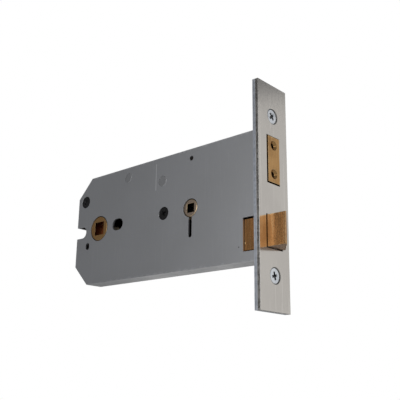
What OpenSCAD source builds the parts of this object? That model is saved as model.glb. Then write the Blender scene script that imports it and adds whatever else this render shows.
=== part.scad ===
// Narrow mortise lock with a bevelled latch, a deadbolt, a spindle follower and a snib.
// The origin is the centre of the outer forend's face. +X is the way the bolts are thrown,
// +Z is up, and the cover plate faces -Y.

/* [Forend] */
// Height of both forend plates
forend_h = 118; // [112:0.1:142]
// Width of both forend plates
forend_w = 24.5; // [22:0.1:30]
// Thickness of the outer, visible plate
outer_forend_t = 1.8; // [1.2:0.05:2.5]
// Thickness of the inner plate, which carries the case
inner_forend_t = 1.7; // [1.5:0.1:3]
// Distance from each end of the forend to the plate screw's centre
forend_screw_inset = 17.5; // [15:0.1:19]
// Distance from each end of the forend to the door fixing hole's centre
fixing_inset = 7; // [5.5:0.1:8]
// Diameter of the door fixing holes
fixing_d = 4.8; // [4:0.1:5.5]

/* [Case] */
// Depth from the forend's face to the case's rear wall
case_d = 148.5; // [148:0.1:190]
// Height of the case
case_h = 68; // [66:0.1:84]
// Thickness of the case over both sheets
case_t = 12.7; // [10.5:0.1:15.5]
// Thickness of the case's sheet
sheet_t = 1.2; // [0.9:0.05:1.5]
// Leg of the two 45 degree chamfers at the rear
case_chamfer = 12; // [6:0.1:15]
// Outside radius of the tray's bends
bend_r = 1.5; // [0.5:0.05:2]
// Height of the notch in the rear edge
rear_notch_h = 7.2; // [5:0.1:9]
// Depth of the notch in the rear edge
rear_notch_d = 8.8; // [5:0.1:10]

/* [Deadbolt] */
// Height of the deadbolt's head
bolt_h = 24.4; // [20:0.1:26]
// Height of the head's middle above the forend's middle
bolt_z = 17.5; // [16.5:0.1:18.5]
// Throw of the deadbolt
bolt_throw = 12; // [9:0.1:14.4]
// How far the drawn-back deadbolt stands out of the forend
bolt_proud = 0.5; // [0:0.1:2]
// Length of the deadbolt's head
bolt_len = 27.5; // [24:0.1:32]
// Diameter of the hardened rollers inside the head
roller_d = 2.8; // [2:0.1:4]
// Diameter of the countersinks at the rollers' holes
roller_sink_d = 5.2; // [4.5:0.1:6.5]
// Thickness of the deadbolt's tail plate
bolt_tail_t = 3; // [2:0.1:3.4]

/* [Latch] */
// Height of the latch head
latch_h = 16; // [12:0.1:17]
// Height of the latch head's middle, below the forend's middle
latch_drop = 20.1; // [19:0.1:21]
// Throw of the latch, which is also how far it stands out
latch_throw = 10.8; // [9:0.1:12.9]
// Free length of the case's window behind the drawn-back latch head
window_clear = 1.7; // [0.5:0.1:2]
// Thickness of the latch's tail plate
latch_tail_t = 2.5; // [1.5:0.1:2.8]
// Outside diameter of the latch spring
spring_d = 6.6; // [5:0.1:6.8]
// Diameter of the spring's wire
spring_wire = 0.8; // [0.5:0.05:0.9]

/* [Follower] */
// Distance from the forend's face to the follower's axis
follower_x = 127.3; // [125:0.1:128]
// Width of the follower's square hole
follower_square = 8.1; // [6:0.1:9]
// Diameter of the follower's hub where it turns in the case
follower_hub_d = 15.5; // [13.5:0.1:17]
// Tilt of the follower's arms at rest, and half of its turn
arm_tilt = 20; // [16:0.5:24]
// Length of the furniture fixing hole beside the follower
furniture_hole_w = 9.2; // [7:0.1:10]
// Height of the furniture fixing hole
furniture_hole_h = 7.1; // [5:0.1:7.2]
// Distance from the follower's axis to the furniture hole's middle
furniture_hole_x = 17.1; // [16:0.1:18]

/* [Snib] */
// Distance from the forend's face to the snib's axis
snib_x = 50.9; // [48:0.1:52]
// Width of the snib's square hole
snib_square = 5.1; // [4:0.1:6]
// Diameter of the snib's hub where it turns in the case
snib_hub_d = 10.3; // [9:0.1:10.6]
// Width of the assembly slot below the snib's hub
snib_slot_w = 2.4; // [1.5:0.1:3]
// Depth of that slot's end below the snib's axis
snib_slot_end = 16.4; // [10:0.1:18]

/* [Posts and screws] */
// Diameter of the black cover screws' heads
cover_screw_head_d = 7.7; // [6.5:0.1:8]
// Diameter of both kinds of machine screw
screw_d = 4; // [3:0.1:4]
// Diameter of the forend screws' heads
forend_screw_head_d = 7.7; // [6.5:0.1:8.4]
// Diameter of the countersinks in the forend, at its face
forend_sink_d = 8.5; // [8.4:0.1:9]
// Diameter of the two tapped posts
cover_post_d = 6; // [5:0.1:6.4]
// Diameter of the deadbolt's guide post
bolt_post_d = 6.2; // [4:0.1:6.4]
// Diameter of the two posts that guide the latch tail
tail_post_d = 5.7; // [4:0.1:6]
// Diameter of the detent spring's pin
detent_pin_d = 2.7; // [2:0.1:3]

/* [Clearances] */
// Radial running clearance of both hubs in the case
hub_gap = 0.08; // [0.02:0.01:0.1]
// Gap between a sliding piece and the wall beside it
side_gap = 0.15; // [0.1:0.01:0.3]
// Gap round the latch in the forend's opening
latch_gap = 0.35; // [0.2:0.01:0.6]
// Gap round the deadbolt in the forend's opening
bolt_gap = 0.5; // [0.2:0.01:0.8]
// Gap round a piece that is riveted, staked or screwed in place
fit_gap = 0.02; // [0.01:0.01:0.05]
// Gap between a cam's tip and the piece that it drives
drive_gap = 0.15; // [0.1:0.01:0.2]
// Gap on each side of the snib's finger in the deadbolt's tail
talon_gap = 0.35; // [0.3:0.01:0.5]

/* [Hidden] */
$fn = 64;

// Overrun that makes a cut pass cleanly through a face, and joins lap inside one piece
eps = 0.5;
// Smallest overrun, for a cut whose sloping sides meet the face
nick = 0.01;
// Longer than any size of the lock
reach = 300;

// Forend
forend_screw_z = forend_h / 2 - forend_screw_inset;
fixing_z = forend_h / 2 - fixing_inset;
fixing_sink = 1.1;
forend_screw_top = -(forend_sink_d - 2 * fit_gap - forend_screw_head_d) / 2;

// Case
forend_back = -(outer_forend_t + inner_forend_t);
y_out = case_t / 2;
y_in = y_out - sheet_t;
top_z = case_h / 2;
tenon_w = 10;
tenon_root = 1;
mid_tenon_z = -3.5;
wall_tenon_w = 6;
rear_notch_z = -0.5;
sight_hole_at = [-137.7, -10];
sight_hole_w = 3.3;
sight_hole_h = 4.4;

// Deadbolt
bolt_side_gap = 0.35;
bolt_t = 2 * (y_in - bolt_side_gap);
bolt_rear_x = bolt_proud - bolt_len;
bolt_tail_y = 0.2;
bolt_tail_top = 26;
bolt_tail_lap = 12;
bolt_rivet_d = 3;
bolt_rivet_x = bolt_rear_x + bolt_tail_lap / 2;
bolt_rivet_z = [bolt_z - 8, bolt_z + 5];
roller_z = [bolt_z - bolt_h / 2 + 4.7, bolt_z + bolt_h / 2 - 4.4];
roller_len = 10;
roller_recess = 2.6;

// Latch
latch_z = -latch_drop;
latch_inset = 0.1;
latch_w = case_t - 2 * latch_inset;
latch_body_t = 2 * (y_in - side_gap);
latch_step_x = forend_back + 1.2;
latch_rear_x = -24;
latch_straight = 2;
latch_tip = 1;
window_x = -(latch_throw - latch_step_x + window_clear);
window_gap = 0.7;
tail_bar_h = 5.5;
tail_bar_z = latch_z - 6.9;
latch_tail_lap = 12;
latch_rivet_d = 2.5;
latch_rivet_x = [latch_rear_x + 3.5, latch_rear_x + latch_tail_lap - 3.5];
latch_rivet_z = tail_bar_z + tail_bar_h / 2;
latch_tail_y = -1.1;

// Follower and the fork that it pulls
fx = -follower_x;
arm_r = latch_throw / 2 / sin(arm_tilt);
arm_tip_r = 2;
arm_root_w = 9;
arm_neck_w = 3.2;
arm_half_t = 3.6;
follower_flange_w = 1.45;
fork_gap = 0.36;
fork_in = arm_r + arm_tip_r + fork_gap;
fork_limb_w = 6.2;
fork_out = fork_in + fork_limb_w;
hook_face_x = fx + latch_throw / 2 - arm_tip_r - drive_gap;
hook_w = 2.55;
hook_reach = 0.7;
hook_in = arm_r * cos(arm_tilt) - hook_reach;
fork_base_front = -85;
fork_base_w = 7;
hub_inset = 0.15;
hub_chamfer = 0.6;

// Snib
sx = -snib_x;
finger_r = bolt_throw / 2 / sin(45);
finger_tip_r = 1.9;
finger_w = 2.6;
finger_root_gap = 0.2;
snib_flange_w = 1.25;
bolt_tail_bottom = max(snib_hub_d / 2 + talon_gap, finger_r * cos(45) + finger_root_gap);

// Posts
post_a = [-141.65, 19.2];
post_b = [-71.4, 0.3];
bolt_post = [-72.8, 19.6];
upper_post = [-102.2, fork_out + side_gap + tail_post_d / 2];
lower_post = [-106, -upper_post[1]];
post_tenon_d = 4.4;
post_floor = 2;
screw_end_gap = 1;
pin_recess = 0.7;
slot_h = bolt_post_d + 2 * side_gap;
slot_rear_x = bolt_post[0] - bolt_throw;
slot_wall = 3.4;
bolt_tail_rear_x = slot_rear_x - slot_h / 2 - slot_wall;

// Latch spring
spring_z = latch_z + 2.6;
spring_spare = 1.6;
spring_turns = 8;
spring_ring_sides = 8;
spring_steps = 20;
spring_front_x = latch_rear_x;
spring_rear_x = latch_rear_x - latch_throw - spring_turns * spring_wire - spring_spare;
spigot_gap = 0.3;
spigot_d = spring_d - 2 * (spring_wire + spigot_gap);
spigot_len = 4;
abutment_w = 3;
abutment_half = spring_d / 2 + 0.2;
abutment_spigot_len = 1.5;
abutment_tenon_h = 4;

// Detent
detent_pin_at = [-50.55, 28.4];
detent_nose_x = -66;
detent_strip_t = 0.5;
detent_strip_w = 5;
detent_gap = 0.05;
notch_depth = 1.1;
notch_half_w = 1.9;

// ---------- helpers ----------

// Extrudes a shape drawn in X and Z from y0 to y1
module across(y0, y1) {
    translate([0, y1, 0])
        rotate([90, 0, 0])
            linear_extrude(y1 - y0)
                children();
}

// Round bar along Y at a point [x, z]
module bar(at, d, y0, y1) {
    across(y0, y1)
        translate(at)
            circle(d = d);
}

// Cone along Y at a point [x, z], from d0 at y0 to d1 at y1
module cone(at, d0, d1, y0, y1) {
    translate([at[0], y0, at[1]])
        rotate([-90, 0, 0])
            cylinder(d1 = d0, d2 = d1, h = y1 - y0);
}

// Rectangle from corner to corner
module area(x0, z0, x1, z1) {
    translate([x0, z0])
        square([x1 - x0, z1 - z0]);
}

// Level slot with round ends, from x0 to x1 over its whole length
module obround(x0, x1, z, h) {
    area(x0 + h / 2, z - h / 2, x1 - h / 2, z + h / 2);
    for (x = [x0 + h / 2, x1 - h / 2])
        translate([x, z])
            circle(d = h);
}

// Block along X with its section given in Y and Z
module block(x0, x1, y0, y1, z0, z1) {
    translate([x0, y0, z0])
        cube([x1 - x0, y1 - y0, z1 - z0]);
}

// Case outline, drawn in by inset on its top, bottom, rear and chamfers
module case_outline(inset, front) {
    c = case_chamfer - inset * (2 - sqrt(2));
    x = -case_d + inset;
    z = top_z - inset;
    polygon([[front, -z], [front, z], [x + c, z], [x, z - c], [x, c - z], [x + c, -z]]);
}

// Everything up to a plane at dist along an outward direction in XZ, its +Y edge rounded
module bent_edge(angle, dist) {
    rotate([0, angle, 0])
        translate([0, 0, -reach])
            linear_extrude(2 * reach) {
                translate([-reach, -reach])
                    square([reach + dist, reach + y_out - bend_r]);
                translate([-reach, -reach])
                    square([reach + dist - bend_r, reach + y_out]);
                translate([dist - bend_r, y_out - bend_r])
                    circle(r = bend_r);
            }
}

// Holes that both sheets of the case share
module shared_holes() {
    translate([fx, 0])
        circle(d = follower_hub_d + 2 * hub_gap);
    translate([sx, 0])
        circle(d = snib_hub_d + 2 * hub_gap);
    hole_x = fx + furniture_hole_x;
    obround(hole_x - furniture_hole_w / 2, hole_x + furniture_hole_w / 2, 0, furniture_hole_h);
    obround(-case_d - rear_notch_h, -case_d + rear_notch_d, rear_notch_z, rear_notch_h);
    area(window_x, latch_z - latch_h / 2 - window_gap, forend_back + eps,
        latch_z + latch_h / 2 + window_gap);
}

// ---------- case ----------

module case_tray() {
    color([0.45, 0.47, 0.49])
    difference() {
        union() {
            intersection() {
                across(-y_in, y_out)
                    case_outline(0, forend_back);
                bent_edge(-90, top_z);
                bent_edge(90, top_z);
                bent_edge(180, case_d);
                bent_edge(-135, (case_d + top_z - case_chamfer) / sqrt(2));
                bent_edge(135, (case_d + top_z - case_chamfer) / sqrt(2));
            }
            block(forend_back - tenon_root, -outer_forend_t, y_in, y_out,
                mid_tenon_z - tenon_w / 2, mid_tenon_z + tenon_w / 2);
            for (z = [top_z - sheet_t, -top_z])
                block(forend_back - tenon_root, -outer_forend_t, -wall_tenon_w / 2, wall_tenon_w / 2,
                    z, z + sheet_t);
        }
        across(-y_in - eps, y_in)
            case_outline(sheet_t, forend_back + inner_forend_t + eps);
        across(-y_in - eps, y_out + eps)
            obround(-case_d - rear_notch_h, -case_d + rear_notch_d, rear_notch_z, rear_notch_h);
        across(y_in - eps, y_out + eps)
            shared_holes();
        for (p = [post_a, post_b, bolt_post, upper_post, lower_post])
            bar(p, post_tenon_d + 2 * fit_gap, y_in - eps, y_out + eps);
        bar(detent_pin_at, detent_pin_d + 2 * fit_gap, y_in - eps, y_out + eps);
        across(y_in - eps, y_out + eps)
            abutment_tenon(fit_gap);
    }
}

module cover_plate() {
    color([0.47, 0.49, 0.51])
    difference() {
        union() {
            across(-y_out, -y_in)
                case_outline(0, forend_back);
            block(forend_back - tenon_root, -outer_forend_t, -y_out, -y_in,
                mid_tenon_z - tenon_w / 2, mid_tenon_z + tenon_w / 2);
        }
        across(-y_out - eps, -y_in + eps)
            shared_holes();
        across(-y_out - eps, -y_in + eps) {
            obround_down(sx, -snib_slot_end, snib_slot_w);
            sight_hole();
        }
        bar(bolt_post, bolt_post_d + 2 * fit_gap, -y_out - eps, -y_in + eps);
        bar(upper_post, tail_post_d + 2 * fit_gap, -y_out - eps, -y_in + eps);
        bar(detent_pin_at, detent_pin_d + 2 * fit_gap, -y_out - eps, -y_in + eps);
        for (p = [post_a, post_b])
            cover_countersink(p);
    }
}

// Upright slot from a hub's middle down to its round end
module obround_down(x, z_end, w) {
    area(x - w / 2, z_end + w / 2, x + w / 2, 0);
    translate([x, z_end + w / 2])
        circle(d = w);
}

// Upright hole with round ends near the cover's rear edge
module sight_hole() {
    translate(sight_hole_at) {
        for (z = [-1, 1])
            translate([0, z * (sight_hole_h - sight_hole_w) / 2])
                circle(d = sight_hole_w);
        square([sight_hole_w, sight_hole_h - sight_hole_w], center = true);
    }
}

// Countersink for a cover screw, through the cover and into the post
module cover_countersink(p) {
    head = cover_screw_head_d + 2 * fit_gap;
    shank = screw_d + 2 * fit_gap;
    cone(p, head, shank, -y_out, -y_out + (head - shank) / 2);
    bar(p, head, -y_out - eps, -y_out);
    bar(p, shank, -y_out, y_in - post_floor);
}

module cover_posts() {
    color([0.62, 0.62, 0.6])
    difference() {
        for (p = [post_a, post_b]) {
            bar(p, cover_post_d, -y_in, y_in);
            bar(p, post_tenon_d, y_in - eps, y_out);
        }
        for (p = [post_a, post_b])
            cover_countersink(p);
    }
}

module cover_screws() {
    color([0.06, 0.06, 0.06])
    for (p = [post_a, post_b])
        difference() {
            union() {
                cone(p, cover_screw_head_d, screw_d, -y_out,
                    -y_out + (cover_screw_head_d - screw_d) / 2);
                bar(p, screw_d, -y_out + eps, y_in - post_floor - screw_end_gap);
            }
            translate([p[0], -y_out, p[1]])
                rotate([90, 0, 0])
                    cross_recess(cover_screw_head_d);
        }
}

// Cross recess cut downwards from z = 0
module cross_recess(head_d) {
    arm = head_d * 0.52;
    slit = head_d * 0.12;
    depth = head_d * 0.17;
    for (a = [0, 90])
        rotate([0, 0, a])
            translate([-arm / 2, -slit / 2, -depth])
                cube([arm, slit, depth + eps]);
}

module bolt_guide_post() {
    color([0.5, 0.51, 0.52]) {
        bar(bolt_post, bolt_post_d, -y_out, y_in);
        bar(bolt_post, post_tenon_d, y_in - eps, y_out);
    }
}

module upper_tail_post() {
    color([0.5, 0.51, 0.52]) {
        bar(upper_post, tail_post_d, -y_out, y_in);
        bar(upper_post, post_tenon_d, y_in - eps, y_out);
    }
}

module lower_tail_post() {
    color([0.5, 0.51, 0.52]) {
        bar(lower_post, tail_post_d, side_gap - y_in, y_in);
        bar(lower_post, post_tenon_d, y_in - eps, y_out);
    }
}

module detent_pin() {
    color([0.2, 0.2, 0.2])
    bar(detent_pin_at, detent_pin_d, -y_out + pin_recess, y_out);
}

// ---------- forend ----------

// Openings for the two bolts, drawn in Y and Z
module bolt_openings() {
    translate([-bolt_t / 2 - bolt_gap, bolt_z - bolt_h / 2 - bolt_gap])
        square([bolt_t + 2 * bolt_gap, bolt_h + 2 * bolt_gap]);
    translate([-latch_w / 2 - latch_gap, latch_z - latch_h / 2 - latch_gap])
        square([latch_w + 2 * latch_gap, latch_h + 2 * latch_gap]);
}

// Extrudes a shape drawn in Y and Z from x0 to x1
module along(x0, x1) {
    translate([x0, 0, 0])
        rotate([90, 0, 90])
            linear_extrude(x1 - x0)
                children();
}

// Plain hole at height z through the forend, countersunk from its mouth at x = mouth
module forend_countersink(z, mouth, head, shank) {
    depth = (head - shank) / 2;
    translate([mouth - depth, 0, z])
        rotate([0, 90, 0])
            cylinder(d1 = shank, d2 = head, h = depth);
    translate([mouth, 0, z])
        rotate([0, 90, 0])
            cylinder(d = head, h = eps);
    translate([forend_back - eps, 0, z])
        rotate([0, 90, 0])
            cylinder(d = shank, h = mouth - forend_back + eps);
}

module forend_screw_holes() {
    for (s = [-1, 1])
        forend_countersink(s * forend_screw_z, 0, forend_sink_d, screw_d + 2 * fit_gap);
}

module outer_forend() {
    color([0.7, 0.69, 0.67])
    difference() {
        block(-outer_forend_t, 0, -forend_w / 2, forend_w / 2, -forend_h / 2, forend_h / 2);
        along(-outer_forend_t - eps, eps)
            bolt_openings();
        forend_screw_holes();
    }
}

module inner_forend() {
    color([0.6, 0.63, 0.67])
    difference() {
        block(forend_back, -outer_forend_t, -forend_w / 2, forend_w / 2,
            -forend_h / 2, forend_h / 2);
        along(forend_back - eps, eps)
            bolt_openings();
        forend_screw_holes();
        for (s = [-1, 1])
            forend_countersink(s * fixing_z, -outer_forend_t, fixing_d + 2 * fixing_sink, fixing_d);
        along(forend_back - eps, eps) {
            for (y = [-y_out, y_in])
                translate([y - fit_gap, mid_tenon_z - tenon_w / 2 - fit_gap])
                    square([sheet_t + 2 * fit_gap, tenon_w + 2 * fit_gap]);
            for (z = [top_z - sheet_t, -top_z])
                translate([-wall_tenon_w / 2 - fit_gap, z - fit_gap])
                    square([wall_tenon_w + 2 * fit_gap, sheet_t + 2 * fit_gap]);
        }
    }
}

module forend_screws() {
    color([0.72, 0.74, 0.78])
    for (s = [-1, 1])
        difference() {
            translate([forend_screw_top, 0, s * forend_screw_z])
                rotate([0, -90, 0]) {
                    cylinder(d1 = forend_screw_head_d, d2 = screw_d,
                        h = (forend_screw_head_d - screw_d) / 2);
                    translate([0, 0, eps])
                        cylinder(d = screw_d, h = forend_screw_top - forend_back - eps);
                }
            translate([forend_screw_top, 0, s * forend_screw_z])
                rotate([0, 90, 0])
                    cross_recess(forend_screw_head_d);
        }
}

// ---------- deadbolt ----------

module deadbolt_head() {
    color([0.72, 0.58, 0.36])
    difference() {
        block(bolt_rear_x, bolt_proud, -bolt_t / 2, bolt_t / 2,
            bolt_z - bolt_h / 2, bolt_z + bolt_h / 2);
        for (z = roller_z) {
            translate([bolt_proud - roller_recess - roller_len, 0, z])
                rotate([0, 90, 0])
                    cylinder(d = roller_d + 2 * fit_gap, h = roller_len + roller_recess + eps);
            translate([bolt_proud - (roller_sink_d - roller_d) / 2, 0, z])
                rotate([0, 90, 0])
                    cylinder(d1 = roller_d, d2 = roller_sink_d,
                        h = (roller_sink_d - roller_d) / 2);
        }
        across(bolt_tail_y - fit_gap, bolt_tail_y + bolt_tail_t + fit_gap)
            area(bolt_rear_x - eps, bolt_tail_bottom - fit_gap, bolt_rear_x + bolt_tail_lap,
                bolt_tail_top + fit_gap);
        for (z = bolt_rivet_z)
            bar([bolt_rivet_x, z], bolt_rivet_d + 2 * fit_gap, -bolt_t, bolt_t);
    }
}

module bolt_tail() {
    color([0.55, 0.56, 0.57])
    across(bolt_tail_y, bolt_tail_y + bolt_tail_t)
    difference() {
        area(bolt_tail_rear_x, bolt_tail_bottom, bolt_rear_x + bolt_tail_lap - fit_gap,
            bolt_tail_top);
        obround(slot_rear_x - slot_h / 2, bolt_post[0] + slot_h / 2, bolt_post[1], slot_h);
        talon_x = sx - bolt_throw / 2;
        talon_half = finger_tip_r + talon_gap;
        area(talon_x - talon_half, bolt_tail_bottom - eps, talon_x + talon_half,
            finger_r + finger_tip_r + talon_gap);
        for (x = [detent_nose_x, detent_nose_x - bolt_throw])
            polygon([
                [x - notch_half_w, bolt_tail_top + nick],
                [x, bolt_tail_top - notch_depth],
                [x + notch_half_w, bolt_tail_top + nick]
            ]);
        for (z = bolt_rivet_z)
            translate([bolt_rivet_x, z])
                circle(d = bolt_rivet_d + 2 * fit_gap);
    }
}

module bolt_rivets() {
    color([0.66, 0.52, 0.3])
    for (z = bolt_rivet_z)
        bar([bolt_rivet_x, z], bolt_rivet_d, -bolt_t / 2, bolt_t / 2);
}

module anti_saw_rollers() {
    color([0.2, 0.2, 0.21])
    for (z = roller_z)
        translate([bolt_proud - roller_recess - roller_len, 0, z])
            rotate([0, 90, 0])
                cylinder(d = roller_d, h = roller_len);
}

// ---------- latch ----------

module latch_head() {
    half = latch_w / 2;
    z0 = latch_z - latch_h / 2;
    color([0.62, 0.47, 0.26])
    difference() {
        union() {
            translate([0, 0, z0])
                linear_extrude(latch_h)
                    polygon([
                        [latch_step_x, -half], [latch_throw, -half],
                        [latch_throw, latch_tip - half], [latch_straight, half],
                        [latch_step_x, half]
                    ]);
            block(latch_rear_x, latch_step_x + eps, -latch_body_t / 2, latch_body_t / 2,
                z0, z0 + latch_h);
            translate([latch_rear_x - spigot_len, 0, spring_z])
                rotate([0, 90, 0])
                    cylinder(d = spigot_d, h = spigot_len + eps);
        }
        across(latch_tail_y - latch_tail_t - fit_gap, latch_tail_y + fit_gap)
            area(latch_rear_x - eps, z0 - eps, latch_rear_x + latch_tail_lap,
                tail_bar_z + tail_bar_h + fit_gap);
        for (x = latch_rivet_x)
            bar([x, latch_rivet_z], latch_rivet_d + 2 * fit_gap, -latch_w, latch_w);
    }
}

module latch_tail() {
    base_rear = fork_base_front - fork_base_w;
    hook_rear = hook_face_x - hook_w;
    color([0.55, 0.56, 0.57])
    across(latch_tail_y - latch_tail_t, latch_tail_y)
    difference() {
        union() {
            area(fork_base_front - eps, tail_bar_z, latch_rear_x + latch_tail_lap - fit_gap,
                tail_bar_z + tail_bar_h);
            area(base_rear, tail_bar_z, fork_base_front, fork_out);
            for (s = [0, 1])
                mirror([0, s]) {
                    area(hook_rear, fork_in, base_rear + eps, fork_out);
                    area(hook_rear, hook_in, hook_face_x, fork_out);
                }
        }
        for (x = latch_rivet_x)
            translate([x, latch_rivet_z])
                circle(d = latch_rivet_d + 2 * fit_gap);
    }
}

module latch_rivets() {
    color([0.66, 0.52, 0.3])
    for (x = latch_rivet_x)
        bar([x, latch_rivet_z], latch_rivet_d, -latch_body_t / 2, latch_body_t / 2);
}

// Point on the spring's surface: turn angle a in degrees, angle b round the wire
function spring_point(a, b) =
    let (
        run = spring_front_x - spring_rear_x - spring_wire,
        x = spring_rear_x + spring_wire / 2 + run * a / (360 * spring_turns),
        r = (spring_d - spring_wire) / 2 + spring_wire / 2 * cos(b)
    )
    [x + spring_wire / 2 * sin(b), r * cos(a), spring_z + r * sin(a)];

module latch_spring() {
    rings = spring_turns * spring_steps;
    m = spring_ring_sides;
    points = [
        for (i = [0 : rings], j = [0 : m - 1])
            spring_point(360 * i / spring_steps, 360 * j / m)
    ];
    sides = [
        for (i = [0 : rings - 1], j = [0 : m - 1])
            let (k = (j + 1) % m)
            [i * m + j, i * m + k, (i + 1) * m + k, (i + 1) * m + j]
    ];
    first = [for (j = [m - 1 : -1 : 0]) j];
    last = [for (j = [0 : m - 1]) rings * m + j];
    color([0.75, 0.76, 0.78])
    polyhedron(points, concat(sides, [first, last]));
}

// Foot of the abutment, drawn in X and Z with an extra margin
module abutment_tenon(margin) {
    half = abutment_tenon_h / 2 + margin;
    area(spring_rear_x - abutment_w - margin, spring_z - half,
        spring_rear_x + margin, spring_z + half);
}

module spring_abutment() {
    color([0.5, 0.51, 0.52]) {
        block(spring_rear_x - abutment_w, spring_rear_x, -abutment_half, y_in,
            spring_z - abutment_half, spring_z + abutment_half);
        translate([spring_rear_x - eps, 0, spring_z])
            rotate([0, 90, 0])
                cylinder(d = spigot_d, h = eps + abutment_spigot_len);
        across(y_in - eps, y_out)
            abutment_tenon(0);
    }
}

// ---------- detent ----------

// Outline of a strip of even thickness that follows a list of points
function unit(v) = v / norm(v);
function side_of(v) = [-v[1], v[0]];
function strip_normal(p, i) =
    let (
        n = len(p) - 1,
        before = unit(p[min(i, n - 1) + 1] - p[min(i, n - 1)]),
        after = unit(p[max(i, 1)] - p[max(i, 1) - 1]),
        mean = unit(side_of(before) + side_of(after))
    )
    mean / (mean * side_of(before));
function strip(p, t) = concat(
    [for (i = [0 : len(p) - 1]) p[i] + strip_normal(p, i) * t / 2],
    [for (i = [len(p) - 1 : -1 : 0]) p[i] - strip_normal(p, i) * t / 2]
);

module detent_spring() {
    lift = detent_strip_t / 2 + detent_gap;
    loop_r = detent_pin_d / 2 + lift;
    pin = detent_pin_at;
    loop = [for (a = [-20 : 20 : 260]) pin + loop_r * [cos(a), sin(a)]];
    nose_z = bolt_tail_top - notch_depth + 0.65;
    arm = [
        [detent_nose_x + 4, bolt_tail_top + 2.2],
        [detent_nose_x + 1.5, bolt_tail_top + 0.9],
        [detent_nose_x, nose_z],
        [detent_nose_x - 1.5, bolt_tail_top + 0.9],
        [detent_nose_x - 3.5, bolt_tail_top + 2.4]
    ];
    stay = [
        [pin[0] + 10, top_z - sheet_t - lift - detent_gap],
        [pin[0] + 6, top_z - sheet_t - lift - 5 * detent_gap],
        [pin[0] + 3, pin[1] + 0.6]
    ];
    color([0.7, 0.71, 0.73])
    across(-detent_strip_w / 2, detent_strip_w / 2)
        polygon(strip(concat(stay, loop, arm), detent_strip_t));
}

// ---------- follower and snib ----------

// Arm with a narrow neck below its round tip at radius r, drawn upwards from the middle
module cam_arm(r, root_w, neck_w, tip_r) {
    half = neck_w / 2;
    bend = r * 0.65;
    polygon([
        [-root_w / 2, 0], [root_w / 2, 0], [half, bend],
        [half, r], [-half, r], [-half, bend]
    ]);
    translate([0, r])
        circle(r = tip_r);
}

// Hub along Y at a point [x, z], chamfered at both ends
module hub(at, d) {
    y = y_out - hub_inset;
    bar(at, d, hub_chamfer - y, y - hub_chamfer);
    cone(at, d - 2 * hub_chamfer, d, -y, hub_chamfer - y);
    cone(at, d, d - 2 * hub_chamfer, y - hub_chamfer, y);
}

module follower() {
    color([0.7, 0.55, 0.32])
    difference() {
        union() {
            hub([fx, 0], follower_hub_d);
            bar([fx, 0], follower_hub_d + 2 * follower_flange_w, side_gap - y_in, y_in - side_gap);
            across(-arm_half_t, arm_half_t)
                translate([fx, 0])
                    for (s = [0, 1])
                        mirror([0, s])
                            rotate(-arm_tilt)
                                cam_arm(arm_r, arm_root_w, arm_neck_w, arm_tip_r);
        }
        across(-y_out - eps, y_out + eps)
            translate([fx, 0])
                square(follower_square, center = true);
    }
}

module snib_follower() {
    color([0.7, 0.55, 0.32])
    difference() {
        union() {
            hub([sx, 0], snib_hub_d);
            flange_d = snib_hub_d + 2 * snib_flange_w;
            bar([sx, 0], flange_d, side_gap - y_in, bolt_tail_y - side_gap);
            bar([sx, 0], flange_d, bolt_tail_y + bolt_tail_t + side_gap, y_in - side_gap);
            across(bolt_tail_y + side_gap, bolt_tail_y + bolt_tail_t - side_gap)
                translate([sx, 0])
                    rotate(45)
                        cam_arm(finger_r, finger_w, finger_w, finger_tip_r);
        }
        across(-y_out - eps, y_out + eps)
            translate([sx, 0])
                square(snib_square, center = true);
    }
}

case_tray();
cover_plate();
inner_forend();
outer_forend();
forend_screws();
cover_screws();
cover_posts();
bolt_guide_post();
upper_tail_post();
lower_tail_post();
spring_abutment();
latch_spring();
detent_spring();
detent_pin();
latch_head();
latch_tail();
latch_rivets();
deadbolt_head();
bolt_tail();
bolt_rivets();
anti_saw_rollers();
follower();
snib_follower();
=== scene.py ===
import math

import bmesh
import bpy
from mathutils import Matrix, Vector


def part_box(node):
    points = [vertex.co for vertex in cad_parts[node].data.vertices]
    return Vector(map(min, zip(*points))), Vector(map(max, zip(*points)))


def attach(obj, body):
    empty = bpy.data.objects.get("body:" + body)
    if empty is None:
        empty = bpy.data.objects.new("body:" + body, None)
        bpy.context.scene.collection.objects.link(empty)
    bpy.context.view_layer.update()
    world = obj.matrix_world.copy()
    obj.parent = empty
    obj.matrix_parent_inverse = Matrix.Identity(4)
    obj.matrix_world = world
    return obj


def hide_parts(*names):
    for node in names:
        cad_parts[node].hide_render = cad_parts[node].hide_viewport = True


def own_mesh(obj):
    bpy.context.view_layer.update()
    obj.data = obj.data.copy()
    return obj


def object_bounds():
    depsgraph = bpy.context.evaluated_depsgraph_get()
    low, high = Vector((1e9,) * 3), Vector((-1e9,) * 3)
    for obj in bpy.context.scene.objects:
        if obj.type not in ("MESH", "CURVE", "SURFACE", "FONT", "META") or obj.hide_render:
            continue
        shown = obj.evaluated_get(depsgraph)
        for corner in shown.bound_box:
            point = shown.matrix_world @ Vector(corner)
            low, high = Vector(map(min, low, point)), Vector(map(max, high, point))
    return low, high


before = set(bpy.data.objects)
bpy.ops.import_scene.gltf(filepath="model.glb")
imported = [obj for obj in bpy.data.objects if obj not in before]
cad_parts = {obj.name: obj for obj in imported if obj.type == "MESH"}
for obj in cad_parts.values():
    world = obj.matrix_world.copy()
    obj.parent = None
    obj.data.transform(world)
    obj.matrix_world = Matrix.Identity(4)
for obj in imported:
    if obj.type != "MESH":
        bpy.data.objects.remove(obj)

cadLow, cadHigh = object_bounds()  # the box around the imported CAD pieces; the box that the finished lock has to stay in
mm = 0.001
print("frame loaded with", len(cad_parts), "nodes")

# Camera and light come first

cameraSetup = {
    "place": (0.1846, -0.2602, -0.0945),
    "azimuth": 41.99,
    "elevation": -15.95,
    "roll": 0.72,
    "lens": 59.55,
    "sensor": 36.0,
    "clipStart": 0.01,
}


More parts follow.
